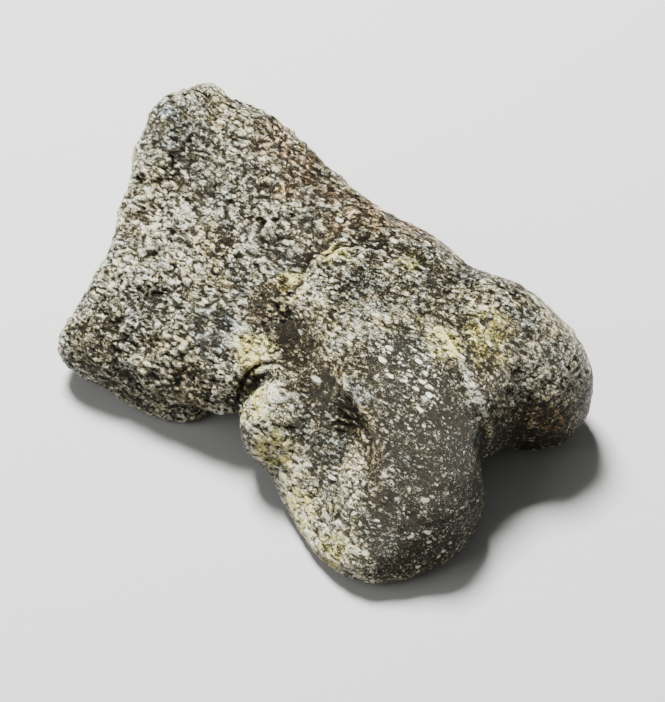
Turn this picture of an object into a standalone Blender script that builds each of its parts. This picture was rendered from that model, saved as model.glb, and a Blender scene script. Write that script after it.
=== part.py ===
"""Fossil theropod toe bone (a pedal phalanx), life size, as it rests on its sole.

The bone's own frame, in metres: +X runs along the bone from the proximal joint, which met the foot,
to the distal pulley, +Y runs from the near condyle to the far one, and +Z is up, out of the back of
the toe. The origin is on the floor, under the middle of the bone.
"""

import math
from collections import namedtuple

import bmesh
import bpy
import numpy as np
from mathutils import Euler, Vector, noise

MM = 0.001

# All places and sizes in these tables are in mm, with the floor at z = 0.

# Skin of the shaft and of the proximal end, as sections across the bone. Each names the place along
# the bone and its four outermost points as (y, z). The bends shape the quarter arcs between these
# points: 1 is round, 2 is a straight slope and less than 1 is square.
Section = namedtuple("Section", "along near top far sole near_bend far_bend sole_bend")
SECTIONS = (
    Section(-36.5, (-15.5, 7.5), (12.5, 29.5), (20.0, 18.0), (2.0, 4.0), 1.65, 0.90, 0.70),
    Section(-34.0, (-17.0, 7.5), (12.0, 30.8), (22.5, 15.5), (2.0, 2.0), 1.60, 0.76, 0.60),
    Section(-29.0, (-18.0, 7.5), (12.5, 30.5), (24.3, 15.0), (2.0, 0.5), 1.55, 0.72, 0.55),
    Section(-22.0, (-17.0, 8.0), (12.5, 28.8), (23.8, 15.5), (2.0, 1.5), 1.50, 0.70, 0.62),
    Section(-13.0, (-16.0, 8.0), (11.0, 26.8), (21.4, 15.8), (2.0, 5.0), 1.35, 0.70, 0.80),
    Section(-4.0, (-14.5, 8.5), (9.0, 25.5), (20.4, 16.0), (1.0, 6.5), 1.20, 0.70, 0.90),
    Section(5.0, (-11.0, 10.0), (7.0, 25.0), (21.3, 15.0), (1.0, 5.5), 0.95, 0.72, 0.90),
    Section(14.0, (-8.5, 11.0), (6.0, 22.0), (19.0, 13.0), (1.0, 4.0), 0.90, 0.85, 0.90),
    Section(20.0, (-7.0, 11.0), (5.0, 17.0), (13.0, 12.0), (1.0, 6.0), 1.00, 1.00, 1.00),
)
RING_POINTS = 64
RINGS_BETWEEN = 6

# The two condyles of the distal pulley, as wheels on a cross axis. Each names its four radii, toward
# its front, top, back and sole, half its width, how deep its outer face is dished, the side that
# face looks to, -1 near or 1 far, and its turn in degrees: about the axle, then about X and Z.
Wheel = namedtuple("Wheel", "name centre front top back sole half_width dish side turn")
WHEELS = (
    Wheel("near_condyle", (12.6, -8.0, 7.2), 18.2, 15.4, 14.5, 14.5, 11.3, 1.0, -1, (38, -38, 0)),
    Wheel("far_condyle", (17.0, 13.8, 9.8), 16.4, 14.6, 13.0, 14.8, 9.4, 2.0, 1, (10, 8, 0)),
)
WHEEL_SEGMENTS = 56
WHEEL_ROWS = 20
WHEEL_SHOULDER = 2.4
DISH_SPREAD = 0.86

# Rounded masses that the shaft carries: centre, radii and turn about X, Y and Z in degrees.
Mass = namedtuple("Mass", "name centre radii turn")
MASSES = (
    Mass("apex_lip", (-34.0, 11.0, 25.6), (5.2, 10.0, 6.4), (14, 0, 0)),
    Mass("apex_corner", (-34.0, 10.4, 29.6), (4.4, 5.0, 3.6), (20, 0, 0)),
    Mass("rim", (-33.0, 0.0, 18.8), (4.2, 13.0, 5.0), (38, 0, 0)),
    Mass("near_corner", (-30.0, -13.0, 6.0), (7.5, 5.5, 6.0), (0, 0, 20)),
    Mass("near_boss", (-0.5, -12.0, 9.8), (5.5, 5.0, 7.5), (-30, 0, 0)),
    Mass("pulley_back", (9.0, 8.5, 14.6), (11.5, 12.5, 9.6), (0, 0, 0)),
    Mass("pulley_core", (14.2, 3.0, 10.2), (14.0, 13.0, 12.0), (0, 0, 0)),
    Mass("near_heel", (-23.5, -11.9, 2.0), (10.5, 5.3, 7.2), (0, 0, 0)),
    Mass("far_heel", (-24.0, 14.5, 4.0), (12.0, 8.5, 9.4), (0, 0, 0)),
)

# Hollows cut into the joined masses: the two cups of the proximal joint, and the sole's groove.
HOLLOWS = (
    Mass("near_cup", (-46.5, -5.0, 14.0), (13.0, 12.5, 13.0), (0, 0, 0)),
    Mass("far_cup", (-47.5, 13.0, 16.5), (13.0, 12.0, 14.0), (0, 0, 0)),
    Mass("sole_groove", (22.0, 2.0, -3.5), (15.0, 6.0, 8.0), (0, 0, 0)),
)

# Soft dents and swellings: centre, radii, turn and push in mm.
Dent = namedtuple("Dent", "name centre radii turn push")
DENTS = (
    Dent("near_ligament_pit", (9.5, -12.5, 14.0), (11.0, 9.0, 8.5), (0, 0, 0), (0.0, 3.5, -2.1)),
    Dent("near_flank", (10.0, -17.5, 8.0), (11.0, 7.5, 7.5), (0, 0, -15), (0.0, 2.2, -1.3)),
    Dent("far_ligament_pit", (13.0, 23.0, 13.0), (9.0, 8.0, 7.0), (0, 0, 0), (0.0, -2.8, 0.0)),
    Dent("near_tip", (18.0, -19.0, 4.0), (12.0, 9.0, 9.0), (0, 0, 0), (0.5, -3.0, -0.4)),
    Dent("pulley_groove", (28.0, 1.0, 9.0), (8.0, 6.5, 13.0), (0, 0, 0), (-2.4, 0.0, 0.0)),
    Dent("near_valley", (-4.5, -6.0, 21.0), (8.5, 6.0, 7.0), (0, 0, -20), (0.0, 0.5, -1.3)),
    Dent("extensor_fossa", (-8.0, 5.0, 26.0), (7.0, 9.0, 6.0), (0, 0, 0), (0.0, 0.0, -1.0)),
)

# Narrow grooves pressed in along a bent line: its points, its width and its depth in mm.
Groove = namedtuple("Groove", "name points width depth")
GROOVES = (
    Groove("side_trough", ((-4.5, -5.5, 21.5), (2.0, -8.0, 19.0), (9.0, -12.0, 15.0)), 3.0, 1.5),
    Groove("neck_crease", ((-2.5, -10.0, 15.5), (-6.2, -12.8, 12.0), (-6.4, -14.5, 6.0)), 1.3, 1.6),
    Groove("dorsal_ledge", ((-5.5, -1.5, 24.0), (-5.5, 8.0, 25.0), (6.0, 13.0, 24.5)), 1.2, 0.7),
)
GROOVE_STEPS = 24

# The weathered skin: low lumps all over, and smaller ones that grow toward the proximal joint
# between two places along the bone. It is worn smooth near the floor. Sizes and heights in mm.
LUMP_SIZE = 7.0
LUMP_HEIGHT = 0.34
COARSE_SIZE = 3.4
COARSE_HEIGHT = 0.42
COARSE_FROM = 6.0
COARSE_TO = -12.0
WORN_BELOW = 5.0

SKIN_VOXEL = 0.8 * MM
SKIN_ROUNDS = 16
TRIANGLES_WANTED = 9600
SPHERE_SEGMENTS = 48
SPHERE_RINGS = 24

# The sole's low points are worn round below this height, then end in small flats on the floor.
SOLE_ROUNDING = 3.0
FLAT_HEIGHT = 0.4
FLOOR_SIDE = 200 * MM
FLOOR_DEPTH = 20 * MM

BONE_COLOUR = (0.16, 0.15, 0.13, 1.0)
BONE_ROUGHNESS = 0.62


def clear_scene():
    for obj in list(bpy.data.objects):
        bpy.data.objects.remove(obj, do_unlink=True)


def new_collection(name):
    collection = bpy.data.collections.new(name)
    bpy.context.scene.collection.children.link(collection)
    return collection


def add_object(name, mesh, collection):
    obj = bpy.data.objects.new(name, mesh)
    collection.objects.link(obj)
    return obj


def between(a, b, c, d, share):
    """The point at share of the way from b to c, on the smooth curve through a, b, c and d."""
    return 0.5 * (
        2 * b
        + (c - a) * share
        + (2 * a - 5 * b + 4 * c - d) * share**2
        + (3 * b - a - 3 * c + d) * share**3
    )


def flat(section):
    """The section's sizes as one vector, for blending."""
    values = []
    for value in section:
        values.extend(value if isinstance(value, tuple) else (value,))
    return values


def blended_sections():
    """Sections at even steps between the named ones."""
    rows = [flat(section) for section in SECTIONS]
    last = len(rows) - 1
    found = []
    for index in range(last):
        around = [rows[min(max(index + step, 0), last)] for step in (-1, 0, 1, 2)]
        for step in range(RINGS_BETWEEN):
            share = step / RINGS_BETWEEN
            found.append([between(*column, share) for column in zip(*around)])
    found.append(rows[last])
    return found


def quarter(start, end, bend, share):
    """A point on the arc from a side point to a top or sole point."""
    angle = share * math.pi / 2
    y = end[0] + (start[0] - end[0]) * math.cos(angle) ** bend
    z = start[1] + (end[1] - start[1]) * math.sin(angle) ** bend
    return y, z


def ring(row):
    """The closed outline of one section, far side first, over the top and back under the sole."""
    x, near_y, near_z, top_y, top_z, far_y, far_z, sole_y, sole_z, near_bend, far_bend, sole_bend = row
    near, top, far, sole = (near_y, near_z), (top_y, top_z), (far_y, far_z), (sole_y, sole_z)
    steps = RING_POINTS // 4
    shares = [step / steps for step in range(steps)]
    points = [quarter(far, top, far_bend, share) for share in shares]
    points += [quarter(near, top, near_bend, 1 - share) for share in shares]
    points += [quarter(near, sole, sole_bend, share) for share in shares]
    points += [quarter(far, sole, sole_bend, 1 - share) for share in shares]
    return [Vector((x, y, z)) * MM for y, z in points]


def shaft(collection):
    """The loft through the sections, closed by a cap at each end."""
    mesh = bpy.data.meshes.new("shaft")
    build = bmesh.new()
    rings = [[build.verts.new(point) for point in ring(row)] for row in blended_sections()]
    for back, front in zip(rings, rings[1:]):
        for index in range(RING_POINTS):
            after = (index + 1) % RING_POINTS
            build.faces.new((back[index], front[index], front[after], back[after]))
    build.faces.new(rings[0])
    build.faces.new(reversed(rings[-1]))
    bmesh.ops.recalc_face_normals(build, faces=build.faces)
    build.to_mesh(mesh)
    build.free()
    return add_object("shaft", mesh, collection)


def ellipsoid(mass, collection):
    mesh = bpy.data.meshes.new(mass.name)
    build = bmesh.new()
    bmesh.ops.create_uvsphere(
        build, u_segments=SPHERE_SEGMENTS, v_segments=SPHERE_RINGS, radius=1.0
    )
    turn = Euler([math.radians(angle) for angle in mass.turn]).to_matrix()
    for vert in build.verts:
        sized = Vector(c * r for c, r in zip(vert.co, mass.radii))
        vert.co = (turn @ sized + Vector(mass.centre)) * MM
    build.to_mesh(mesh)
    build.free()
    return add_object(mass.name, mesh, collection)


def wheel_profile(wheel):
    """Pairs of place along the axle and share of the radius, from the inner face to the dished one."""
    pairs = []
    for row in range(1, WHEEL_ROWS):
        angle = (row / WHEEL_ROWS - 0.5) * math.pi
        power = 2 / WHEEL_SHOULDER
        share = math.cos(angle) ** power
        across = math.copysign(abs(math.sin(angle)) ** power, angle) * wheel.half_width
        if across > 0:
            across -= wheel.dish * max(0.0, 1 - (share / DISH_SPREAD) ** 2)
        pairs.append((across, share))
    return pairs


def wheel_rim(wheel, share):
    """One turn of the wheel's skin in its own plane, as pairs toward its front and its top."""
    rim = []
    for step in range(WHEEL_SEGMENTS):
        angle = 2 * math.pi * step / WHEEL_SEGMENTS
        ahead, up = math.cos(angle), math.sin(angle)
        length = wheel.front if ahead > 0 else wheel.back
        height = wheel.top if up > 0 else wheel.sole
        rim.append((ahead * length * share, up * height * share))
    return rim


def condyle(wheel, collection):
    axle, lean, swing = (math.radians(angle) for angle in wheel.turn)
    turn = Euler((lean, axle, swing), "YXZ").to_matrix()
    mesh = bpy.data.meshes.new(wheel.name)
    build = bmesh.new()

    def place(ahead, across, up):
        local = Vector((ahead, wheel.side * across, up))
        return build.verts.new((turn @ local + Vector(wheel.centre)) * MM)

    rims = [
        [place(ahead, across, up) for ahead, up in wheel_rim(wheel, share)]
        for across, share in wheel_profile(wheel)
    ]
    inner = place(0, -wheel.half_width, 0)
    outer = place(0, wheel.half_width - wheel.dish, 0)
    for step in range(WHEEL_SEGMENTS):
        after = (step + 1) % WHEEL_SEGMENTS
        build.faces.new((inner, rims[0][step], rims[0][after]))
        build.faces.new((outer, rims[-1][after], rims[-1][step]))
        for back, front in zip(rims, rims[1:]):
            build.faces.new((back[step], front[step], front[after], back[after]))
    bmesh.ops.recalc_face_normals(build, faces=build.faces)
    build.to_mesh(mesh)
    build.free()
    return add_object(wheel.name, mesh, collection)


def floor_cutter(collection):
    """A block under the floor: it leaves small flats where the bone rests."""
    mesh = bpy.data.meshes.new("floor_cutter")
    build = bmesh.new()
    bmesh.ops.create_cube(build, size=1.0)
    for vert in build.verts:
        vert.co = Vector((
            vert.co.x * FLOOR_SIDE,
            vert.co.y * FLOOR_SIDE,
            (vert.co.z - 0.5) * FLOOR_DEPTH + FLAT_HEIGHT * MM,
        ))
    build.to_mesh(mesh)
    build.free()
    return add_object("floor_cutter", mesh, collection)


def apply_modifiers(obj):
    graph = bpy.context.evaluated_depsgraph_get()
    mesh = bpy.data.meshes.new_from_object(obj.evaluated_get(graph))
    obj.modifiers.clear()
    obj.data = mesh


def boolean(obj, operation, collection):
    """Joins or cuts the object with all of a collection, which is then removed."""
    step = obj.modifiers.new(operation.lower(), "BOOLEAN")
    step.operation = operation
    step.operand_type = "COLLECTION"
    step.collection = collection
    step.solver = "EXACT"
    apply_modifiers(obj)
    for used in list(collection.objects):
        bpy.data.objects.remove(used, do_unlink=True)
    bpy.data.collections.remove(collection)


def blend(obj):
    """Turns the joined masses into one skin of even faces, with soft fillets between them."""
    remesh = obj.modifiers.new("skin", "REMESH")
    remesh.mode = "VOXEL"
    remesh.voxel_size = SKIN_VOXEL
    smooth = obj.modifiers.new("fillets", "SMOOTH")
    smooth.factor = 0.5
    smooth.iterations = SKIN_ROUNDS
    apply_modifiers(obj)


def fewer_faces(obj):
    decimate = obj.modifiers.new("fewer_faces", "DECIMATE")
    decimate.ratio = TRIANGLES_WANTED / (2 * len(obj.data.polygons))
    apply_modifiers(obj)


def islands(build):
    """The mesh's separate surfaces, as lists of vertices."""
    left = set(build.verts)
    found = []
    while left:
        reached = {left.pop()}
        edge_of_reach = list(reached)
        while edge_of_reach:
            vert = edge_of_reach.pop()
            for edge in vert.link_edges:
                other = edge.other_vert(vert)
                if other not in reached:
                    reached.add(other)
                    edge_of_reach.append(other)
        left -= reached
        found.append(list(reached))
    return found


def keep_largest(obj):
    """A cut can leave loose scraps: only the bone's own surface stays."""
    build = bmesh.new()
    build.from_mesh(obj.data)
    surfaces = sorted(islands(build), key=len)
    for scrap in surfaces[:-1]:
        bmesh.ops.delete(build, geom=scrap, context="VERTS")
    build.to_mesh(obj.data)
    build.free()


def centre(obj):
    """Puts the origin on the floor under the middle of the bone's box."""
    points = points_of(obj.data)
    middle = (points.min(axis=0) + points.max(axis=0)) / 2
    middle[2] = FLAT_HEIGHT
    move_points(obj.data, points - middle)


def points_of(mesh):
    points = np.empty(len(mesh.vertices) * 3, np.float32)
    mesh.vertices.foreach_get("co", points)
    return points.reshape(-1, 3).astype(float) / MM


def move_points(mesh, points):
    mesh.vertices.foreach_set("co", (points * MM).astype(np.float32).ravel())
    mesh.update()


def normals_of(mesh):
    normals = np.empty(len(mesh.vertices) * 3, np.float32)
    mesh.vertex_normals.foreach_get("vector", normals)
    return normals.reshape(-1, 3).astype(float)


def dent_weight(points, dent):
    """1 at the dent's centre, falling smoothly to 0 at its radii."""
    turn = np.array(Euler([math.radians(angle) for angle in dent.turn]).to_matrix())
    reach = ((points - dent.centre) @ turn) / dent.radii
    return np.clip(1 - (reach**2).sum(axis=1), 0, None) ** 2


def bent_line(points):
    """The groove's line as many points on one smooth arc through its three."""
    start, middle, end = (np.array(point) for point in points)
    handle = 2 * middle - (start + end) / 2
    shares = np.linspace(0, 1, GROOVE_STEPS)[:, None]
    return (1 - shares) ** 2 * start + 2 * shares * (1 - shares) * handle + shares**2 * end


def groove_weight(points, groove):
    line = bent_line(groove.points)
    gap = np.linalg.norm(points[:, None] - line[None], axis=2).min(axis=1)
    return np.exp(-((gap / groove.width) ** 2))


def lumps(points, size):
    """Smooth noise, about -1 to 1, with lumps of the given size."""
    return np.array([noise.fractal(Vector(point), 1.0, 2.0, 2) for point in points / size])


def weathering(points):
    """Height of the weathered skin over the blended one."""
    coarse = np.clip((points[:, 0] - COARSE_FROM) / (COARSE_TO - COARSE_FROM), 0.25, 1)
    height = LUMP_HEIGHT * lumps(points, LUMP_SIZE)
    height += COARSE_HEIGHT * coarse * lumps(points, COARSE_SIZE)
    return height * np.clip(points[:, 2] / WORN_BELOW, 0, 1)


def sculpt(mesh):
    """Weathers the blended skin and presses the dents and grooves into it."""
    points, normals = points_of(mesh), normals_of(mesh)
    moved = points + weathering(points)[:, None] * normals
    for dent in DENTS:
        moved += dent_weight(points, dent)[:, None] * np.array(dent.push)
    for groove in GROOVES:
        moved -= groove_weight(points, groove)[:, None] * groove.depth * normals
    move_points(mesh, moved)


def round_sole(mesh):
    """Lifts whatever is low toward the floor, so that condyles and heels come down to it rounded."""
    points = points_of(mesh)
    heights = points[:, 2]
    lifted = SOLE_ROUNDING * np.exp(np.minimum(heights / SOLE_ROUNDING - 1, 0))
    points[:, 2] = np.where(heights < SOLE_ROUNDING, lifted, heights)
    move_points(mesh, points)


def bone_material():
    material = bpy.data.materials.new("fossil_bone")
    material.use_nodes = True
    shader = material.node_tree.nodes["Principled BSDF"]
    shader.inputs["Base Color"].default_value = BONE_COLOUR
    shader.inputs["Roughness"].default_value = BONE_ROUGHNESS
    shader.inputs["Metallic"].default_value = 0.0
    return material


def make_bone():
    parts = new_collection("theropod_toe_bone")
    masses = new_collection("masses")
    hollows = new_collection("hollows")
    floor = new_collection("floor")
    bone = shaft(parts)
    bone.name = "toe_bone"
    for mass in MASSES:
        ellipsoid(mass, masses)
    for wheel in WHEELS:
        condyle(wheel, masses)
    for hollow in HOLLOWS:
        ellipsoid(hollow, hollows)
    floor_cutter(floor)
    boolean(bone, "UNION", masses)
    boolean(bone, "DIFFERENCE", hollows)
    blend(bone)
    sculpt(bone.data)
    round_sole(bone.data)
    fewer_faces(bone)
    boolean(bone, "DIFFERENCE", floor)
    keep_largest(bone)
    centre(bone)
    bone.data.materials.append(bone_material())
    return bone


clear_scene()
make_bone()
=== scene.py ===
"""Fossil theropod toe bone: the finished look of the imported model, on a plain pale floor.

Places on the bone are in mm, in the frame of the table of its solid, where the floor is at z = 0.4
and the middle of its box is MIDDLE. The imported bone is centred, so MIDDLE is added and taken off.
"""

import math
from collections import namedtuple

import bpy
import numpy as np
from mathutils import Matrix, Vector, noise
from mathutils.bvhtree import BVHTree


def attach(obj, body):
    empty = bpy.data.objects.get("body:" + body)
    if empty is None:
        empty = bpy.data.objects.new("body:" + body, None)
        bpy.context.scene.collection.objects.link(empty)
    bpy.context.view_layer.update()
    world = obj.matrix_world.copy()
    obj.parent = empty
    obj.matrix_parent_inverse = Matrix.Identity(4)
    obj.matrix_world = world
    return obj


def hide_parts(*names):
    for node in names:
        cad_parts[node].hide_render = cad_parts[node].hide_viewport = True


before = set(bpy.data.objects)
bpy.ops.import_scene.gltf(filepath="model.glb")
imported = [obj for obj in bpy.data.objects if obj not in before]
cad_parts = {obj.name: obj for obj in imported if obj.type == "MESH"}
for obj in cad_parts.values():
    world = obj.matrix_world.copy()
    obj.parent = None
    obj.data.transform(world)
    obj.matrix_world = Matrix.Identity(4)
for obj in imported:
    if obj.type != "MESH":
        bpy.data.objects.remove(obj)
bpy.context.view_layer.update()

MM = 0.001
MIDDLE = np.array((-2.9, 0.25, 0.4))

SKIN_VOXEL = 0.355 * MM
FACET_ROUNDS = 14
FLOOR_CLEARANCE = 0.02


def mesh_points(mesh):
    points = np.empty(len(mesh.vertices) * 3, np.float32)
    mesh.vertices.foreach_get("co", points)
    return points.reshape(-1, 3).astype(float) / MM


def set_mesh_points(mesh, points):
    mesh.vertices.foreach_set("co", (points * MM).astype(np.float32).ravel())
    mesh.update()


def mesh_normals(mesh):
    normals = np.empty(len(mesh.vertices) * 3, np.float32)
    mesh.vertex_normals.foreach_get("vector", normals)
    return normals.reshape(-1, 3).astype(float)


def mesh_edges(mesh):
    ends = np.empty(len(mesh.edges) * 2, np.int32)
    mesh.edges.foreach_get("vertices", ends)
    return ends.reshape(-1, 2)


def apply_modifiers(obj):
    graph = bpy.context.evaluated_depsgraph_get()
    mesh = bpy.data.meshes.new_from_object(obj.evaluated_get(graph))
    obj.modifiers.clear()
    obj.data = mesh


def fine_copy(node):
    """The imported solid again, with even fine faces and its facets smoothed away."""
    bone = bpy.data.objects.new("fossil_toe_bone", node.data.copy())
    bpy.context.scene.collection.objects.link(bone)
    bone.data.materials.clear()
    remesh = bone.modifiers.new("skin", "REMESH")
    remesh.mode = "VOXEL"
    remesh.voxel_size = SKIN_VOXEL
    smooth = bone.modifiers.new("no_facets", "SMOOTH")
    smooth.factor = 0.5
    smooth.iterations = FACET_ROUNDS
    apply_modifiers(bone)
    return bone


def spread(values, ends, rounds):
    """Each point's values averaged with its neighbours', round after round."""
    number = len(values)
    count = np.bincount(ends.ravel(), minlength=number).astype(float)
    columns = values.reshape(number, -1).copy()
    for _ in range(rounds):
        for index in range(columns.shape[1]):
            column = columns[:, index]
            total = np.bincount(ends[:, 0], column[ends[:, 1]], number)
            total += np.bincount(ends[:, 1], column[ends[:, 0]], number)
            columns[:, index] = 0.5 * column + 0.5 * total / count
    return columns.reshape(values.shape)


# The camera, in degrees and mm.
CAMERA_AZIMUTH = 35.0
CAMERA_ELEVATION = 50.0
CAMERA_DISTANCE = 320.0
CAMERA_LENS = 118.0
CAMERA_CLIP_START = 10.0
CAMERA_TARGET = np.array((0.0, 0.0, 13.0))


def camera_axes():
    """Unit vectors from the bone to the camera, to the image's right, and away along the floor."""
    azimuth, elevation = math.radians(CAMERA_AZIMUTH), math.radians(CAMERA_ELEVATION)
    right = Vector((math.cos(azimuth), math.sin(azimuth), 0))
    away = Vector((-math.sin(azimuth), math.cos(azimuth), 0))
    back = -away * math.cos(elevation) + Vector((0, 0, math.sin(elevation)))
    return back, right, away


def camera_place():
    back, _, _ = camera_axes()
    return Vector((CAMERA_TARGET - MIDDLE) * MM) + back * CAMERA_DISTANCE * MM


# The photo's frame in pixels, and the side of the camera's sensor in mm.
PHOTO_WIDTH = 665
PHOTO_HEIGHT = 702
SENSOR_SIDE = 36.0

# Features in the photo, given as its pixels, across and down. Each is taken to lie where the
# camera's line through its pixel meets the imported solid.
SEEN = {
    "roll_crust": (425, 395),
    "roll_edge_top": (318, 352),
    "roll_edge_upper": (345, 385),
    "roll_edge_middle": (372, 425),
    "roll_edge_lower": (392, 470),
    "roll_edge_end": (400, 520),
    "groove_top": (440, 330),
    "groove_upper": (462, 365),
    "groove_lower": (478, 400),
    "groove_end": (490, 435),
    "valley_end": (305, 350),
    "pit_end": (375, 460),
    "boss": (262, 400),
    "crease_top": (272, 362),
    "crease_middle": (250, 372),
    "crease_end": (238, 395),
    "ledge_start": (287, 305),
    "ledge_corner": (298, 288),
    "ledge_rise": (318, 262),
    "ledge_top": (345, 245),
    "ledge_far": (385, 250),
    "ledge_end": (420, 270),
    "corner_shade": (95, 345),
    "heel_shade": (190, 385),
    "back_spot": (215, 245),
    "far_face": (545, 430),
    "waist_ochre": (252, 352),
    "ledge_ochre": (292, 282),
    "far_ochre": (488, 330),
    "groove_ochre": (445, 345),
    "flank_high": (275, 450),
    "flank_middle": (300, 510),
    "flank_low": (330, 550),
    "back_rust": (305, 168),
    "waist_slate": (215, 332),
    "roll_slate": (410, 350),
    "apex_slate": (180, 125),
    "ring_pit": (270, 230),
}


def seen_places(solid):
    """Each seen feature's place on the solid, in mm."""
    surface = BVHTree.FromObject(solid, bpy.context.evaluated_depsgraph_get())
    back, right, _ = camera_axes()
    up = back.cross(right)
    pixels_away = CAMERA_LENS / SENSOR_SIDE * PHOTO_HEIGHT
    places = {}
    for name, (across, down) in SEEN.items():
        line = right * (across - PHOTO_WIDTH / 2) - up * (down - PHOTO_HEIGHT / 2) - back * pixels_away
        hit = surface.ray_cast(camera_place(), line.normalized())[0]
        places[name] = np.array(hit) / MM + MIDDLE
    return places


SEEN_PLACES = seen_places(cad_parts["toe_bone"])


def place_of(spot):
    """A spot's place in mm: a seen feature's by its name, or a place as it is given."""
    return SEEN_PLACES[spot] if isinstance(spot, str) else np.array(spot, float)


# Soft round patches of the surface, as centre and reach in mm.
# ROLL is the smooth dark joint surface. The hollow patches are brown dirt with painted shade, in the
# trough, the pit, the lower corner and the undersides. The ochre, rust and slate patches are stains, and
# the pale ones make the bone lighter.
Patch = namedtuple("Patch", "centre reach")
ROLL = (
    Patch((12.0, -3.0, 21.5), 5.0),
    Patch((17.0, -5.0, 20.5), 6.5),
    Patch((21.5, -8.0, 18.0), 7.5),
    Patch((24.5, -12.0, 13.5), 8.0),
    Patch((25.0, -17.0, 8.0), 8.0),
    Patch((25.0, -8.0, 8.0), 9.0),
    Patch((29.5, 14.0, 12.0), 4.0),
    Patch((30.5, 14.0, 3.0), 8.0),
    Patch((24.0, 2.0, 6.0), 9.0),
)
# Painted shade with brown dirt: the bone is darker and browner in the trough, the pit, the lower corner
# and the undersides.
HOLLOW_DIRT_AND_SHADE = (
    Patch((-7.5, -3.5, 20.0), 4.5),
    Patch((-3.5, -4.5, 18.5), 4.5),
    Patch("valley_end", 4.0),
    Patch((4.5, -7.5, 17.0), 4.0),
    Patch((8.5, -9.5, 16.0), 4.2),
    Patch((12.5, -11.0, 16.0), 3.6),
    Patch("pit_end", 2.8),
    Patch((18.5, -16.0, 12.0), 2.6),
    Patch("corner_shade", 4.5),
    Patch("heel_shade", 4.0),
    Patch("back_spot", 3.0),
    Patch("far_face", 6.0),
)
OCHRE = (
    Patch("waist_ochre", 3.6),
    Patch("ledge_ochre", 2.8),
    Patch("far_ochre", 4.0),
    Patch("groove_ochre", 3.4),
    Patch((22.0, 6.0, 21.5), 3.2),
    Patch((-3.5, -14.0, 13.0), 3.4),
    Patch("flank_high", 4.0),
    Patch("flank_middle", 3.2),
    Patch("flank_low", 3.0),
    Patch((-4.0, 7.0, 24.5), 2.6),
    Patch((5.0, 11.0, 24.5), 2.4),
)
RUST = (
    Patch("back_rust", 7.0),
    Patch((-22.0, 19.0, 24.0), 7.0),
    Patch((-6.5, 14.0, 24.5), 6.0),
    Patch((0.0, 18.0, 18.0), 9.0),
    Patch("far_face", 7.0),
    Patch((-26.0, 22.0, 14.0), 10.0),
)
SLATE = (
    Patch("waist_slate", 4.5),
    Patch("roll_slate", 4.0),
    Patch("apex_slate", 6.0),
    Patch((-34.5, 4.5, 30.0), 3.0),
    Patch((9.0, -13.5, 12.5), 3.6),
    Patch((3.5, 3.0, 24.5), 5.0),
    Patch((24.5, -5.0, 16.0), 5.0),
)
PALE = (
    Patch((-8.5, -8.5, 17.5), 4.5),
    Patch((12.5, -15.5, 12.5), 3.8),
    Patch((15.0, -18.0, 10.5), 3.6),
    Patch((14.5, 1.5, 22.5), 3.4),
    Patch((-24.0, -2.0, 22.0), 7.0),
    Patch((-29.0, -8.0, 18.0), 5.0),
    Patch("boss", 3.2),
    Patch((6.0, 0.0, 24.0), 3.0),
    Patch((-4.5, -2.0, 21.5), 2.8),
    Patch((-3.5, 0.5, 23.0), 2.6),
    Patch((11.5, -2.5, 22.0), 3.2),
    Patch((14.5, -3.0, 21.5), 3.4),
    Patch("roll_crust", 3.2),
    Patch("flank_high", 4.5),
    Patch((6.0, -18.5, 6.5), 4.5),
    Patch((11.0, -21.0, 4.5), 4.5),
)


PATCH_FIRMNESS = 1.6


def covered(points, patches):
    """How far each point is inside any of the patches, from 0 to 1."""
    most = np.zeros(len(points))
    for patch in patches:
        gap = np.linalg.norm(points - place_of(patch.centre), axis=1) / patch.reach
        inside = np.clip(1 - gap**2, 0, None)
        most = np.maximum(most, np.minimum(1, PATCH_FIRMNESS * inside))
    return most


# Lines on the surface, as spots along each.
CREASE = ((-1.5, -8.5, 17.0), "crease_top", "crease_middle", "crease_end", (-7.0, -14.0, 7.0))
LEDGE = ((-7.0, -3.5, 20.0), "ledge_corner", "ledge_rise", "ledge_top", "ledge_far", "ledge_end")
ROLL_EDGE = ("roll_edge_top", "roll_edge_upper", "roll_edge_middle", "roll_edge_lower", "roll_edge_end")
GROOVE_EDGE = ("groove_top", "groove_upper", "groove_lower", "groove_end", (25.0, -1.0, 8.0))
FLAKES = ((-6.5, -3.5, 20.0), "ledge_start", "ledge_corner", (-5.5, 3.0, 24.0), (-4.5, 6.5, 24.5))
PIT_CENTRE = (10.5, -14.5, 12.0)


LINE_STEPS = 14


def bent_line(spots):
    """Places along a smooth line through the spots."""
    ends = [place_of(spot) for spot in (spots[0], *spots, spots[-1])]
    line = []
    for index in range(len(spots) - 1):
        a, b, c, d = ends[index:index + 4]
        for step in range(LINE_STEPS):
            t = step / LINE_STEPS
            square_part = (2 * a - 5 * b + 4 * c - d) * t**2
            cube_part = (3 * b - a - 3 * c + d) * t**3
            line.append(0.5 * (2 * b + (c - a) * t + square_part + cube_part))
    line.append(ends[-1])
    return line


def gap_to(points, line):
    gap = np.full(len(points), 1e9)
    for place in bent_line(line):
        gap = np.minimum(gap, ((points - place) ** 2).sum(axis=1))
    return np.sqrt(gap)


def near(points, line, width):
    """1 on the line, falling off softly over the width in mm."""
    return np.exp(-((gap_to(points, line) / width) ** 2))


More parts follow.
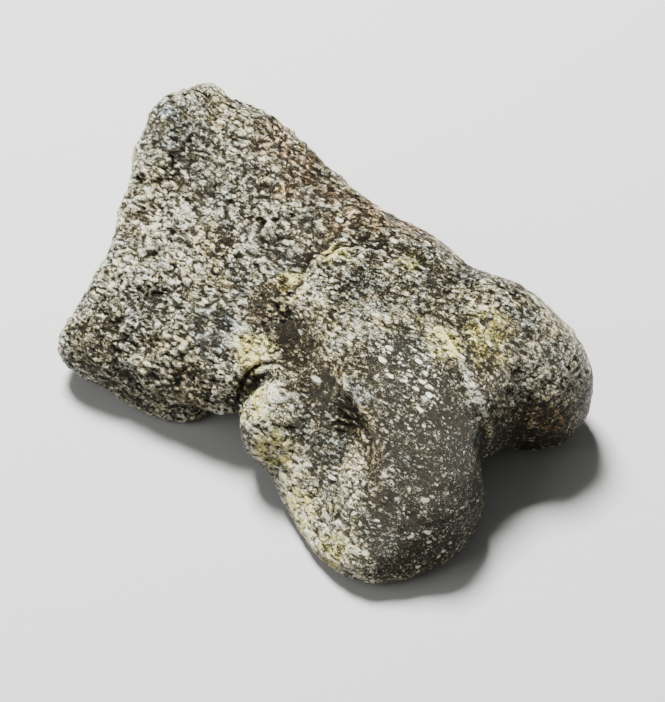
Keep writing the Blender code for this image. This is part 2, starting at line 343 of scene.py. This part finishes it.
# The random textures of the carving. Sizes are in mm, and a stretch is along the frame's axes.
Lumps = namedtuple("Lumps", "size seed octaves stretch", defaults=((1.0, 1.0, 1.0),))
Cells = namedtuple("Cells", "size seed stretch")
SOFT_LUMPS = Lumps(3.4, 1, 2)
ROUGH_LUMPS = Lumps(1.9, 2, 3)
PIT_CELLS = Cells(1.9, 3, (1.5, 1.0, 1.0))
PIT_GROUP_LUMPS = Lumps(4.0, 4, 2)
GRAIN_CELLS = Cells(1.0, 5, (1.35, 1.0, 1.0))
FURROW_LUMPS = Lumps(1.5, 6, 2, (1.8, 1.0, 1.0))
ARC_LUMPS = Lumps(3.0, 7, 3)
BREAK_LUMPS = Lumps(2.0, 8, 3)
WANDER_LUMPS = Lumps(2.5, 9, 2)
FLAKE_LUMPS = Lumps(1.2, 10, 2)

# How far a step of the seed moves each kind of texture.
LUMPS_SEED_STEP = (17.3, -9.1, 5.7)
CELLS_SEED_STEP = (11.9, 7.3, -13.1)
OCTAVE_FADE = 1.0
OCTAVE_SCALE = 2.0


def texture_places(points, texture, seed_step):
    """The points in the texture's own units, moved on by its seed."""
    shift = Vector([texture.seed * step for step in seed_step])
    scaled = points / (np.array(texture.stretch) * texture.size)
    return [Vector(point) + shift for point in scaled]


def lumps(points, texture):
    """Smooth noise at each point, about -1 to 1."""
    places = texture_places(points, texture, LUMPS_SEED_STEP)
    return np.array([noise.fractal(place, OCTAVE_FADE, OCTAVE_SCALE, texture.octaves) for place in places])


def cells(points, texture):
    """Distance from each point to the nearest of random places, in the texture's own units."""
    places = texture_places(points, texture, CELLS_SEED_STEP)
    return np.array([noise.voronoi(place)[0][0] for place in places])


def smooth_step(values, low, high):
    share = np.clip((values - low) / (high - low), 0, 1)
    return share * share * (3 - 2 * share)


def set_attribute(mesh, name, values):
    layer = mesh.attributes.new(name, "FLOAT", "POINT")
    layer.data.foreach_set("value", np.asarray(values, np.float32))


# Heights and depths of the carved surface in mm, in the order of its textures. The pits are fewer in the
# hollows and the slate patches. A start and a full are values of a texture.
SOFT_LUMP_HEIGHT = 0.08
ROUGH_LUMP_HEIGHT = 0.26
PIT_DEPTH = 0.46
PIT_START, PIT_FULL = 0.42, 0.05
PIT_GROUP_START, PIT_GROUP_FULL = -0.15, 0.25
PIT_LOSS_IN_HOLLOWS = 0.8
PIT_LOSS_IN_SLATE = 0.6
GRAIN_HEIGHT = 0.06
ROUGH_GRAIN_HEIGHT = 0.17
GRAIN_START, GRAIN_FULL = 0.62, 0.10
GRAIN_MIDDLE = 0.4
FURROW_DEPTH = 0.26
FURROW_START, FURROW_FULL = 0.14, 0.0


def grainy_height(points, rough, hollow, slate):
    """Height of the lumps, pits, grains and worm-like furrows."""
    height = SOFT_LUMP_HEIGHT * lumps(points, SOFT_LUMPS)
    height += ROUGH_LUMP_HEIGHT * rough * lumps(points, ROUGH_LUMPS)
    pits = smooth_step(cells(points, PIT_CELLS), PIT_START, PIT_FULL)
    pits *= smooth_step(lumps(points, PIT_GROUP_LUMPS), PIT_GROUP_START, PIT_GROUP_FULL)
    pits *= (1 - PIT_LOSS_IN_HOLLOWS * hollow) * (1 - PIT_LOSS_IN_SLATE * slate)
    height -= PIT_DEPTH * rough * pits
    grains = smooth_step(cells(points, GRAIN_CELLS), GRAIN_START, GRAIN_FULL) - GRAIN_MIDDLE
    height += (GRAIN_HEIGHT + ROUGH_GRAIN_HEIGHT * rough) * grains
    furrows = smooth_step(np.abs(lumps(points, FURROW_LUMPS)), FURROW_START, FURROW_FULL)
    return height - FURROW_DEPTH * rough * furrows


# The lines that ring the near ligament pit, from the distance of their start to that of their end, and
# on the near side of the bone only.
ARC_SPACING = 0.90
ARC_HEIGHT = 0.10
ARC_WANDER = 0.9
ARCS_START, ARCS_WHOLE = 2.0, 3.5
ARCS_FADE, ARCS_END = 5.0, 9.0
ARCS_FAR_SIDE = -6.0
ARCS_OUTSIDE_HOLLOWS = 0.3

RING_RADIUS = 1.6
RING_WIDTH = 0.45
RING_DEPTH = 0.45
RING_MIDDLE_WIDTH = 0.9
RING_MIDDLE_HEIGHT = 0.15

CHIP_PLACE = (-34.5, 17.0, 30.0)
CHIP_RADII = (1.6, 1.2, 1.2)
CHIP_HEIGHT = 0.5


def pit_arcs(points, hollow):
    """Height of the fine lines that ring the near ligament pit."""
    from_pit = np.linalg.norm(points - np.array(PIT_CENTRE), axis=1)
    wander = ARC_WANDER * lumps(points, ARC_LUMPS)
    arcs = np.cos(2 * math.pi * (from_pit + wander) / ARC_SPACING)
    share = smooth_step(from_pit, ARCS_START, ARCS_WHOLE) * smooth_step(from_pit, ARCS_END, ARCS_FADE)
    share *= np.clip(hollow + ARCS_OUTSIDE_HOLLOWS, 0, 1)
    return ARC_HEIGHT * arcs * share * (points[:, 1] < ARCS_FAR_SIDE)


def ring_pit(points):
    """Height of the round pit on the back of the shaft, with a low boss in its middle."""
    gap = np.linalg.norm(points - place_of("ring_pit"), axis=1)
    ring = RING_DEPTH * np.exp(-(((gap - RING_RADIUS) / RING_WIDTH) ** 2))
    return RING_MIDDLE_HEIGHT * np.exp(-((gap / RING_MIDDLE_WIDTH) ** 2)) - ring


def apex_chip(points):
    """Height of the small lump on the apex."""
    gap = np.linalg.norm((points - np.array(CHIP_PLACE)) / np.array(CHIP_RADII), axis=1)
    return CHIP_HEIGHT * np.exp(-(gap**2))


# The lines pressed into the surface or raised from it, in mm. The ledge and its flakes wander, and they
# are weaker where they are broken.
CREASE_WIDTH = 0.28
CREASE_DEPTH = 0.45
LEDGE_WANDER = 0.6
LEDGE_WIDTH = 0.45
LEDGE_DEPTH = 0.50
LIP_SHIFT = (-1.1, 0.6, 0.0)
LIP_WIDTH = 0.8
LIP_HEIGHT = 0.25
FLAKES_SHIFT = (0.7, 0.0, 0.0)
FLAKES_WIDTH = 1.0
FLAKES_HEIGHT = 0.20
ROLL_EDGE_WIDTH = 0.9
ROLL_EDGE_HEIGHT = 0.28
GROOVE_EDGE_WIDTH = 0.8
GROOVE_EDGE_HEIGHT = 0.35
BREAK_START, BREAK_END = -0.35, 0.25
FLAKY_START, FLAKY_FULL = -0.35, 0.1
LEDGE_WHEN_BROKEN = 0.25
LIP_WHEN_BROKEN = 0.2

Lines = namedtuple("Lines", "crease ledge lip flakes roll_edge groove_edge")


def surface_lines(points):
    """How far each point is on each line, from 0 to 1."""
    whole = smooth_step(lumps(points, BREAK_LUMPS), BREAK_START, BREAK_END)
    flaky = smooth_step(lumps(points, FLAKE_LUMPS), FLAKY_START, FLAKY_FULL)
    wander = points + LEDGE_WANDER * lumps(points, WANDER_LUMPS)[:, None]
    ledge = near(wander, LEDGE, LEDGE_WIDTH)
    lip = near(wander + np.array(LIP_SHIFT), LEDGE, LIP_WIDTH)
    return Lines(
        crease=near(points, CREASE, CREASE_WIDTH),
        ledge=ledge * (LEDGE_WHEN_BROKEN + (1 - LEDGE_WHEN_BROKEN) * whole),
        lip=lip * (LIP_WHEN_BROKEN + (1 - LIP_WHEN_BROKEN) * whole),
        flakes=near(wander + np.array(FLAKES_SHIFT), FLAKES, FLAKES_WIDTH) * flaky,
        roll_edge=near(points, ROLL_EDGE, ROLL_EDGE_WIDTH),
        groove_edge=near(points, GROOVE_EDGE, GROOVE_EDGE_WIDTH),
    )


def lines_height(lines):
    height = LIP_HEIGHT * lines.lip + FLAKES_HEIGHT * lines.flakes
    height += ROLL_EDGE_HEIGHT * lines.roll_edge + GROOVE_EDGE_HEIGHT * lines.groove_edge
    return height - CREASE_DEPTH * lines.crease - LEDGE_DEPTH * lines.ledge


# The surface grows rougher toward the proximal joint, from one place along it in mm to another. It is
# smoother in the hollows and the slate patches, and smoothest on the joint surface.
COARSE_FROM, COARSE_TO = 4.0, -12.0
LEAST_ROUGH = 0.45
ROUGH_LOSS_IN_HOLLOWS = 0.15
ROUGH_LOSS_ON_ROLL = 0.75
ROUGH_LOSS_IN_SLATE = 0.45


def roughness(points, roll, hollow, slate):
    """How rough each point's surface is, from 0 to 1."""
    coarse = smooth_step(points[:, 0], COARSE_FROM, COARSE_TO)
    rough = LEAST_ROUGH + (1 - LEAST_ROUGH) * coarse - ROUGH_LOSS_IN_HOLLOWS * hollow
    return np.clip(rough, 0, 1) * (1 - ROUGH_LOSS_ON_ROLL * roll) * (1 - ROUGH_LOSS_IN_SLATE * slate)


# Rounds of spreading for the soft masks, and for the surface around each point, whose bulge paints light
# and shade on the bone. A bulge that is full is given in mm.
ROLL_ROUNDS = 6
HOLLOW_ROUNDS = 4
RELIEF_ROUNDS = 5
RELIEF_FULL = 0.09
SWELL_ROUNDS = 60
SWELL_FULL = 0.5
PALE_MOST = 1.6


def bulge(moved, normals, ends, rounds):
    """How far each point stands out of the surface around it, in mm."""
    return ((moved - spread(moved, ends, rounds)) * normals).sum(axis=1)


def carve(bone):
    """Presses the fossil's surface into the smooth skin, and keeps masks of it for the material."""
    mesh = bone.data
    points = mesh_points(mesh) + MIDDLE
    ends = mesh_edges(mesh)
    roll = spread(covered(points, ROLL), ends, ROLL_ROUNDS)
    hollow = spread(covered(points, HOLLOW_DIRT_AND_SHADE), ends, HOLLOW_ROUNDS)
    slate = covered(points, SLATE)
    rough = roughness(points, roll, hollow, slate)
    lines = surface_lines(points)

    height = grainy_height(points, rough, hollow, slate) + lines_height(lines)
    height += pit_arcs(points, hollow) + ring_pit(points) + apex_chip(points)
    moved = points + mesh_normals(mesh) * height[:, None]
    moved[:, 2] = np.maximum(moved[:, 2], MIDDLE[2] + FLOOR_CLEARANCE)
    set_mesh_points(mesh, moved - MIDDLE)

    normals = mesh_normals(mesh)
    # Painted light and shade: the bone is lighter where its surface stands out and darker in its pits and
    # dips, at a fine and a broad scale.
    relief = bulge(moved, normals, ends, RELIEF_ROUNDS) / RELIEF_FULL
    swell = bulge(moved, normals, ends, SWELL_ROUNDS) / SWELL_FULL
    pale = covered(points, PALE) + 0.8 * lines.groove_edge + 0.25 * lines.lip + 1.3 * lines.flakes
    set_attribute(mesh, "relief", np.clip(relief, -1, 1))
    set_attribute(mesh, "swell", np.clip(swell, -1, 1))
    set_attribute(mesh, "roll", roll)
    # The hollow mask also adds painted shade, with dirt, along the crease and the ledge.
    set_attribute(mesh, "hollow", np.clip(hollow + 0.2 * lines.crease + 0.4 * lines.ledge, 0, 1))
    set_attribute(mesh, "ochre", np.clip(covered(points, OCHRE) + 0.8 * lines.flakes, 0, 1))
    set_attribute(mesh, "rust", covered(points, RUST))
    set_attribute(mesh, "slate", slate)
    set_attribute(mesh, "pale", np.clip(pale, 0, PALE_MOST))


class Shade:
    """A material's node tree, built by short calls that each return an output socket."""

    def __init__(self, name):
        self.material = bpy.data.materials.new(name)
        self.material.use_nodes = True
        self.tree = self.material.node_tree
        self.shader = self.tree.nodes["Principled BSDF"]
        self.place = self.add("ShaderNodeTexCoord").outputs["Object"]

    def add(self, kind, **settings):
        node = self.tree.nodes.new(kind)
        for name, value in settings.items():
            setattr(node, name, value)
        return node

    def put(self, socket, value):
        if isinstance(value, bpy.types.NodeSocket):
            self.tree.links.new(value, socket)
        else:
            socket.default_value = value

    def stretched(self, scale):
        node = self.add("ShaderNodeMapping")
        self.put(node.inputs["Vector"], self.place)
        node.inputs["Scale"].default_value = scale
        return node.outputs["Vector"]

    def noise(self, size, detail, roughness, distortion=0.0, vector=None):
        """Noise with lumps of the given size in mm, about 0.3 to 0.7."""
        node = self.add("ShaderNodeTexNoise")
        self.put(node.inputs["Vector"], vector or self.place)
        node.inputs["Scale"].default_value = 1 / (size * MM)
        node.inputs["Detail"].default_value = detail
        node.inputs["Roughness"].default_value = roughness
        node.inputs["Distortion"].default_value = distortion
        return node.outputs["Fac"]

    def cells(self, size, vector):
        """The node of cells of the given size in mm."""
        node = self.add("ShaderNodeTexVoronoi")
        self.put(node.inputs["Vector"], vector)
        node.inputs["Scale"].default_value = 1 / (size * MM)
        return node

    def cell_gap(self, size, vector):
        """Distance to the nearest cell's middle, in cells."""
        return self.cells(size, vector).outputs["Distance"]

    def cell_chance(self, size, vector):
        """One number for each cell, from 0 to 1."""
        node = self.add("ShaderNodeSeparateColor")
        self.put(node.inputs["Color"], self.cells(size, vector).outputs["Color"])
        return node.outputs["Red"]

    def warped(self, vector, size, reach):
        """The vector pushed about by noise, with lumps and reach in mm."""
        push = self.add("ShaderNodeTexNoise")
        self.put(push.inputs["Vector"], self.place)
        push.inputs["Scale"].default_value = 1 / (size * MM)
        centred = self.add("ShaderNodeVectorMath", operation="SUBTRACT")
        self.put(centred.inputs[0], push.outputs["Color"])
        centred.inputs[1].default_value = (0.5, 0.5, 0.5)
        sized = self.add("ShaderNodeVectorMath", operation="SCALE")
        self.put(sized.inputs[0], centred.outputs["Vector"])
        sized.inputs["Scale"].default_value = reach * MM
        total = self.add("ShaderNodeVectorMath", operation="ADD")
        self.put(total.inputs[0], vector)
        self.put(total.inputs[1], sized.outputs["Vector"])
        return total.outputs["Vector"]

    def mask(self, name):
        return self.add("ShaderNodeAttribute", attribute_name=name).outputs["Fac"]

    def ridge(self, value, width):
        """1 along the lines where a noise passes its middle, and 0 farther off than the width."""
        gap = self.math("ABSOLUTE", self.math("SUBTRACT", value, 0.5))
        return self.span(gap, width, 0.0)

    def math(self, operation, a, b=0.0, c=0.0):
        node = self.add("ShaderNodeMath", operation=operation)
        for socket, value in zip(node.inputs, (a, b, c)):
            self.put(socket, value)
        return node.outputs["Value"]

    def span(self, value, low, high, out_low=0.0, out_high=1.0, smooth=True):
        node = self.add("ShaderNodeMapRange", interpolation_type="SMOOTHSTEP" if smooth else "LINEAR")
        self.put(node.inputs["Value"], value)
        node.inputs["From Min"].default_value = low
        node.inputs["From Max"].default_value = high
        node.inputs["To Min"].default_value = out_low
        node.inputs["To Max"].default_value = out_high
        return node.outputs["Result"]

    def mix(self, share, a, b, blend="MIX"):
        node = self.add("ShaderNodeMix", data_type="RGBA", blend_type=blend)
        self.put(node.inputs["Factor"], share)
        colours = [socket for socket in node.inputs if socket.type == "RGBA"]
        self.put(colours[0], a)
        self.put(colours[1], b)
        return next(socket for socket in node.outputs if socket.type == "RGBA")


# The base colours, from dark to light, and the tints that multiply them.
NIGHT = (0.003, 0.002, 0.001, 1)
UMBER = (0.017, 0.012, 0.005, 1)
GREY = (0.052, 0.043, 0.025, 1)
TAUPE = (0.122, 0.109, 0.069, 1)
CREAM = (0.330, 0.305, 0.200, 1)
CHALK = (1.000, 0.970, 0.780, 1)
WARM_TINT = (1.0, 0.92, 0.74, 1)
STRAW_TINT = (1.0, 0.95, 0.72, 1)
COOL_TINT = (0.84, 0.94, 1.08, 1)
EARTH_TINT = (1.0, 0.87, 0.64, 1)
OCHRE_TINT = (0.99, 0.96, 0.48, 1)
RUST_TINT = (1.0, 0.78, 0.60, 1)
SLATE_TINT = (0.80, 0.93, 1.12, 1)


def weighted_sum(s, terms):
    """Sum of sockets by weights."""
    total = 0.0
    for socket, weight in terms:
        total = s.math("MULTIPLY_ADD", socket, weight, total)
    return total


# Sizes in mm of the material's textures. Those that run along the bone are drawn out by the stretch.
ALONG_STRETCH = (0.48, 1.0, 1.0)
WARP_SIZE = 0.9
WARP_REACH = 0.55
CELL_SIZE = 0.31
CHIP_SIZE = 0.95
SPECK_SIZE = 0.28
FIBRE_SIZE = 0.40
CURL_SIZE = 0.85
HAIR_SIZE = 0.60
CRACK_SIZE = 1.00
MOTTLE_SIZE = 2.6
BROAD_SIZE = 9.0
STRAW_SIZE = 1.9
COOL_SIZE = 3.4
OCHRE_SIZE = 1.3
RUST_SIZE = 2.2
SLATE_SIZE = 2.0
DUST_SIZE = 0.22
CLUSTER_SIZE = 2.2
BUMP_HEIGHT = 0.36

# A ridge's width is in units of its noise. The fine texture's middle value and the shift of the tone
# were set for the weights below.
RIDGE_WIDTH = 0.050
FINE_MIDDLE = 1.19
TONE_SHIFT = 2.215

Masks = namedtuple("Masks", "relief swell roll hollow ochre rust slate pale")
Layers = namedtuple(
    "Layers", "along cell cell_light chip chip_light speck fibre curls hairs cracks mottle broad"
)


def texture_layers(s):
    along = s.stretched(ALONG_STRETCH)
    warped = s.warped(along, WARP_SIZE, WARP_REACH)
    return Layers(
        along=along,
        cell=s.cell_gap(CELL_SIZE, warped),
        cell_light=s.cell_chance(CELL_SIZE, warped),
        chip=s.cell_gap(CHIP_SIZE, warped),
        chip_light=s.cell_chance(CHIP_SIZE, warped),
        speck=s.noise(SPECK_SIZE, 4.0, 0.88, 1.3),
        fibre=s.noise(FIBRE_SIZE, 4.0, 0.82, 1.8, along),
        curls=s.ridge(s.noise(CURL_SIZE, 2.0, 0.6, 1.9, along), RIDGE_WIDTH),
        hairs=s.ridge(s.noise(HAIR_SIZE, 2.0, 0.6, 2.2), RIDGE_WIDTH),
        cracks=s.ridge(s.noise(CRACK_SIZE, 3.0, 0.6, 1.6), RIDGE_WIDTH),
        mottle=s.noise(MOTTLE_SIZE, 4.0, 0.62),
        broad=s.noise(BROAD_SIZE, 3.0, 0.55),
    )


def bone_tone(s, layers, masks, dark):
    """How light the bone is, from about 0 to 1, with painted light and shade. Its fine texture is crisper
    in the dark parts.
    """
    fine = weighted_sum(s, (
        (layers.speck, 1.25),
        (layers.fibre, 0.85),
        (layers.cell_light, 0.24),
        (layers.cell, -0.16),
        (layers.curls, 0.20),
        (layers.hairs, 0.16),
        (layers.cracks, -0.24),
        # painted light on fine bumps and painted shade in pits
        (masks.relief, 0.19),
    ))
    crisp = s.math("MULTIPLY", dark, s.math("SUBTRACT", fine, FINE_MIDDLE))
    tone = weighted_sum(s, (
        (fine, 1.70),
        (crisp, 1.10),
        (layers.mottle, 0.90),
        (layers.broad, 0.50),
        # painted light on broad rises and painted shade in dips
        (masks.swell, 0.15),
        (masks.pale, 0.16),
        (masks.ochre, 0.08),
        (masks.slate, -0.09),
        (masks.rust, -0.07),
        (masks.roll, -0.44),
        # painted shade, with brown dirt, in the hollows
        (masks.hollow, -0.33),
    ))
    return s.math("SUBTRACT", tone, TONE_SHIFT)


# The colours over the darkest one, as the tones at which each starts and is whole.
ToneStep = namedtuple("ToneStep", "start whole colour smooth")
TONE_STEPS = (
    ToneStep(0.10, 0.28, UMBER, False),
    ToneStep(0.28, 0.40, GREY, False),
    ToneStep(0.40, 0.53, TAUPE, False),
    ToneStep(0.53, 0.68, CREAM, False),
    ToneStep(0.68, 0.84, CHALK, True),
)


def tone_colour(s, tone):
    colour = NIGHT
    for step in TONE_STEPS:
        colour = s.mix(s.span(tone, step.start, step.whole, smooth=step.smooth), colour, step.colour)
    return colour


def stain(s, mask, size, whole):
    """The mask broken up by noise, and whole where the noise is at least the given value."""
    return s.math("MULTIPLY", mask, s.span(s.noise(size, 3.0, 0.6), 0.34, whole))


def tinted(s, colour, layers, masks):
    """The colour with its tints: three that come with noise, and the others with the masks."""
    tints = (
        (s.span(layers.broad, 0.40, 0.62, 0.0, 0.6), WARM_TINT),
        (s.span(s.noise(STRAW_SIZE, 3.0, 0.65, 0.8, layers.along), 0.50, 0.68), STRAW_TINT),
        (s.span(s.noise(COOL_SIZE, 3.0, 0.65, 0.5), 0.50, 0.62), COOL_TINT),
        (s.math("MULTIPLY", masks.roll, 0.25), SLATE_TINT),
        (stain(s, masks.ochre, OCHRE_SIZE, 0.54), OCHRE_TINT),
        (stain(s, masks.rust, RUST_SIZE, 0.60), RUST_TINT),
        (stain(s, masks.slate, SLATE_SIZE, 0.58), SLATE_TINT),
        # Brown dirt in the hollows, which also carry painted shade.
        (s.math("MULTIPLY", masks.hollow, 0.8), EARTH_TINT),
    )
    for share, tint in tints:
        colour = s.mix(share, colour, tint, "MULTIPLY")
    return colour


def dusted(s, colour, layers, dark):
    """The colour with a little pale dust in the dark parts."""
    specks = s.span(s.noise(DUST_SIZE, 2.0, 0.7, 0.8, layers.along), 0.50, 0.68)
    dust = s.math("MAXIMUM", s.math("MULTIPLY", layers.hairs, 0.5), specks)
    return s.mix(s.math("MULTIPLY", s.math("MULTIPLY", dark, dust), 0.28), colour, TAUPE, "LIGHTEN")


def bright_specks(s, layers, masks):
    """1 on the small crystals, which are in clusters, and on single pale flakes."""
    cluster = weighted_sum(s, ((s.noise(CLUSTER_SIZE, 3.0, 0.6, 0.5), 1.0), (masks.pale, 0.14)))
    crystal = s.math("MULTIPLY", s.span(layers.cell, 0.55, 0.30), s.span(layers.cell_light, 0.74, 0.84))
    crystal = s.math("MULTIPLY", crystal, s.span(cluster, 0.50, 0.62))
    crust = s.math("MULTIPLY", masks.roll, masks.pale)
    flake_chance = s.math("MULTIPLY_ADD", crust, 0.28, layers.chip_light)
    flake = s.math("MULTIPLY", s.span(layers.chip, 0.42, 0.26), s.span(flake_chance, 0.93, 0.96))
    return s.math("MAXIMUM", crystal, flake)


def single_pores(s, layers):
    """1 in the single dark pores."""
    return s.math("MULTIPLY", s.span(layers.chip, 0.42, 0.18), s.span(layers.chip_light, 0.16, 0.08))


def set_sheen(s, tone, roll):
    rough = s.math("MULTIPLY_ADD", roll, 0.25, s.span(tone, 0.3, 0.8, 0.34, 0.20, smooth=False))
    s.put(s.shader.inputs["Roughness"], rough)
    s.shader.inputs["Specular IOR Level"].default_value = 0.28
    s.shader.inputs["Specular Tint"].default_value = WARM_TINT


def set_bump(s, height, roll):
    """The bump of the fine texture, a little weaker on the joint surface."""
    bump = s.add("ShaderNodeBump")
    bump.inputs["Distance"].default_value = BUMP_HEIGHT * MM
    s.put(bump.inputs["Strength"], s.span(roll, 0.0, 1.0, 1.0, 0.8, smooth=False))
    s.put(bump.inputs["Height"], height)
    s.put(s.shader.inputs["Normal"], bump.outputs["Normal"])


def fossil_material():
    """Mineralised bone: pale grains and bright crystals packed in a dark brown to black ground."""
    s = Shade("fossil_bone_surface")
    masks = Masks(*(s.mask(name) for name in Masks._fields))
    layers = texture_layers(s)
    # The dark parts: the joint surface, and the hollows with their painted shade.
    dark = s.math("MAXIMUM", masks.roll, masks.hollow)
    tone = bone_tone(s, layers, masks, dark)
    bright = bright_specks(s, layers, masks)
    pore = single_pores(s, layers)

    colour = tinted(s, tone_colour(s, tone), layers, masks)
    colour = dusted(s, colour, layers, dark)
    colour = s.mix(s.math("MULTIPLY", bright, 0.80), colour, CHALK)
    colour = s.mix(s.math("MULTIPLY", pore, 0.85), colour, NIGHT)
    s.put(s.shader.inputs["Base Color"], colour)
    set_sheen(s, tone, masks.roll)
    set_bump(s, weighted_sum(s, ((tone, 1.0), (bright, 0.15), (pore, -0.5))), masks.roll)
    return s.material


def make_bone(node):
    bone = fine_copy(node)
    carve(bone)
    bone.data.shade_smooth()
    bone.data.materials.append(fossil_material())
    return bone


# The floor reaches this far in metres from its middle.
FLOOR_REACH = 1.2
FLOOR_COLOUR = (0.26, 0.26, 0.255, 1)
FLOOR_ROUGHNESS = 0.9


def make_floor():
    reach = FLOOR_REACH
    corners = [(-reach, -reach, 0), (reach, -reach, 0), (reach, reach, 0), (-reach, reach, 0)]
    mesh = bpy.data.meshes.new("floor")
    mesh.from_pydata(corners, [], [(0, 1, 2, 3)])
    obj = bpy.data.objects.new("floor", mesh)
    bpy.context.scene.collection.objects.link(obj)
    material = bpy.data.materials.new("pale_floor")
    material.use_nodes = True
    shader = material.node_tree.nodes["Principled BSDF"]
    shader.inputs["Base Color"].default_value = FLOOR_COLOUR
    shader.inputs["Roughness"].default_value = FLOOR_ROUGHNESS
    mesh.materials.append(material)


def make_camera():
    back, _, _ = camera_axes()
    data = bpy.data.cameras.new("camera")
    data.lens = CAMERA_LENS
    data.clip_start = CAMERA_CLIP_START * MM
    obj = bpy.data.objects.new("camera", data)
    obj.location = camera_place()
    obj.rotation_euler = (-back).to_track_quat("-Z", "Y").to_euler()
    bpy.context.scene.collection.objects.link(obj)
    bpy.context.scene.camera = obj


# Each lamp's place from the middle of the floor, as metres away from the camera, to the image's right and
# up. Its side is in metres and its power in watts.
Lamp = namedtuple("Lamp", "name away right up side power")
LAMPS = (
    Lamp("key", 0.26, -0.10, 0.50, 0.16, 28.5),
    Lamp("fill", -0.12, -0.40, 0.30, 0.35, 1.8),
)
LAMP_TARGET = Vector((0, 0, 0.012))
WORLD_STRENGTH = 0.30


def make_lamp(lamp):
    _, right, away = camera_axes()
    place = away * lamp.away + right * lamp.right + Vector((0, 0, lamp.up))
    data = bpy.data.lights.new(lamp.name, "AREA")
    data.size = lamp.side
    data.energy = lamp.power
    obj = bpy.data.objects.new(lamp.name, data)
    obj.location = place
    obj.rotation_euler = (LAMP_TARGET - place).to_track_quat("-Z", "Y").to_euler()
    bpy.context.scene.collection.objects.link(obj)


def make_lights():
    for lamp in LAMPS:
        make_lamp(lamp)
    world = bpy.data.worlds.new("studio")
    world.use_nodes = True
    background = world.node_tree.nodes["Background"]
    background.inputs["Color"].default_value = (1, 1, 1, 1)
    background.inputs["Strength"].default_value = WORLD_STRENGTH
    bpy.context.scene.world = world


bone = make_bone(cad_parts["toe_bone"])
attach(bone, "root")
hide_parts("toe_bone")
make_floor()
make_camera()
make_lights()
